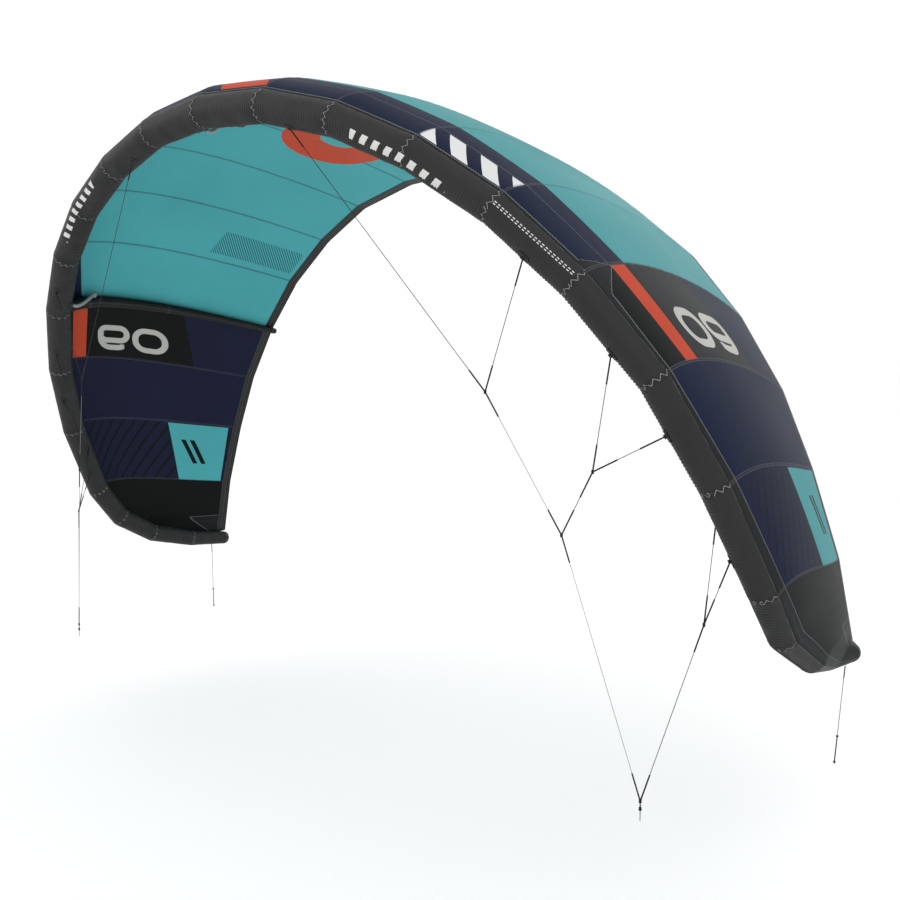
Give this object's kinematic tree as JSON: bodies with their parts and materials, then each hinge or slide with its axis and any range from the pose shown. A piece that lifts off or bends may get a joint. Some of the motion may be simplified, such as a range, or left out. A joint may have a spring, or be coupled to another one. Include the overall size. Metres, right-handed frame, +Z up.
{
  "type": "kitesurf kite",
  "caption": "Inflatable kitesurfing kite with a curved leading edge tube, struts, a cambered fabric canopy, and bridle lines ending in pigtails.",
  "frame": {"origin": "axis of the leading edge tube at the middle seam, where the kite's pull acts while it flies", "axes": "+X to the tip on the right when seen from the front, +Y aft from the leading edge to the trailing edge, +Z up"},
  "size_m": [4.4224, 1.6627, 2.7362],
  "materials": {
    "dacron_grey": "satin woven polyester",
    "bladder_film": "thin translucent film",
    "canopy_teal": "ripstop polyester, light sheen",
    "canopy_navy": "ripstop polyester, light sheen",
    "canopy_black": "ripstop polyester, light sheen",
    "edge_band": "doubled polyester band",
    "bridle_line": "braided fibre",
    "pigtail_line": "sheathed braid",
    "hose_silicone": "satin",
    "valve_plastic": "moulded, fine grain"
  },
  "bodies": {
    "kite": {"le_sleeve_right_1": "dacron_grey", "le_sleeve_right_2": "dacron_grey", "le_sleeve_right_3": "dacron_grey", "le_sleeve_right_4": "dacron_grey", "canopy_right_1": "canopy_teal", "canopy_right_2": "canopy_teal", "canopy_right_3": "canopy_teal", "canopy_right_4": "canopy_black", "canopy_right_5": "canopy_navy", "canopy_right_6": "canopy_black", "edge_band_right": "edge_band", "bridle_a1_n1_right": "bridle_line", "bridle_a2_n1_right": "bridle_line", "bridle_a3_n2_right": "bridle_line", "bridle_a4_n2_right": "bridle_line", "bridle_n1_n3_right": "bridle_line", "bridle_n2_n3_right": "bridle_line", "bridle_a5_n4_right": "bridle_line", "bridle_a6_n4_right": "bridle_line", "bridle_n3_n5_right": "bridle_line", "bridle_n4_n5_right": "bridle_line", "le_sleeve_left_1": "dacron_grey", "le_sleeve_left_2": "dacron_grey", "le_sleeve_left_3": "dacron_grey", "le_sleeve_left_4": "dacron_grey", "canopy_left_1": "canopy_teal", "canopy_left_2": "canopy_teal", "canopy_left_3": "canopy_teal", "canopy_left_4": "canopy_black", "canopy_left_5": "canopy_navy", "canopy_left_6": "canopy_black", "edge_band_left": "edge_band", "bridle_a1_n1_left": "bridle_line", "bridle_a2_n1_left": "bridle_line", "bridle_a3_n2_left": "bridle_line", "bridle_a4_n2_left": "bridle_line", "bridle_n1_n3_left": "bridle_line", "bridle_n2_n3_left": "bridle_line", "bridle_a5_n4_left": "bridle_line", "bridle_a6_n4_left": "bridle_line", "bridle_n3_n5_left": "bridle_line", "bridle_n4_n5_left": "bridle_line", "le_bladder": "bladder_film", "strut_middle": "dacron_grey", "strut_bladder_middle": "bladder_film", "fill_hose_middle": "hose_silicone", "strut_right": "dacron_grey", "strut_bladder_right": "bladder_film", "fill_hose_right": "hose_silicone", "strut_left": "dacron_grey", "strut_bladder_left": "bladder_film", "fill_hose_left": "hose_silicone", "valve_base": "valve_plastic"},
    "pigtail_front_right": {"pigtail_front_right": "pigtail_line"},
    "pigtail_rear_right": {"pigtail_rear_right": "pigtail_line"},
    "pigtail_front_left": {"pigtail_front_left": "pigtail_line"},
    "pigtail_rear_left": {"pigtail_rear_left": "pigtail_line"},
    "valve_cap": {"valve_cap": "valve_plastic"}
  },
  "joints": [
    {"name": "valve_cap_twist", "type": "hinge", "parent": "kite", "child": "valve_cap", "pos_m": [0.16698, 0.06975, -0.05863], "axis": [-0.0716, 0.8187, -0.5697], "range_deg": [0, 90]},
    {"name": "pigtail_front_right_swing", "type": "hinge", "parent": "kite", "child": "pigtail_front_right", "pos_m": [1.86, 0.411, -2.492], "axis": [1, 0, 0], "range_deg": [-60, 60]},
    {"name": "pigtail_rear_right_swing", "type": "hinge", "parent": "kite", "child": "pigtail_rear_right", "pos_m": [2.09868, 1.48008, -2.1961], "axis": [1, 0, 0], "range_deg": [-60, 60]},
    {"name": "pigtail_front_left_swing", "type": "hinge", "parent": "kite", "child": "pigtail_front_left", "pos_m": [-1.86, 0.411, -2.492], "axis": [1, 0, 0], "range_deg": [-60, 60]},
    {"name": "pigtail_rear_left_swing", "type": "hinge", "parent": "kite", "child": "pigtail_rear_left", "pos_m": [-2.09868, 1.48008, -2.1961], "axis": [1, 0, 0], "range_deg": [-60, 60]}
  ]
}
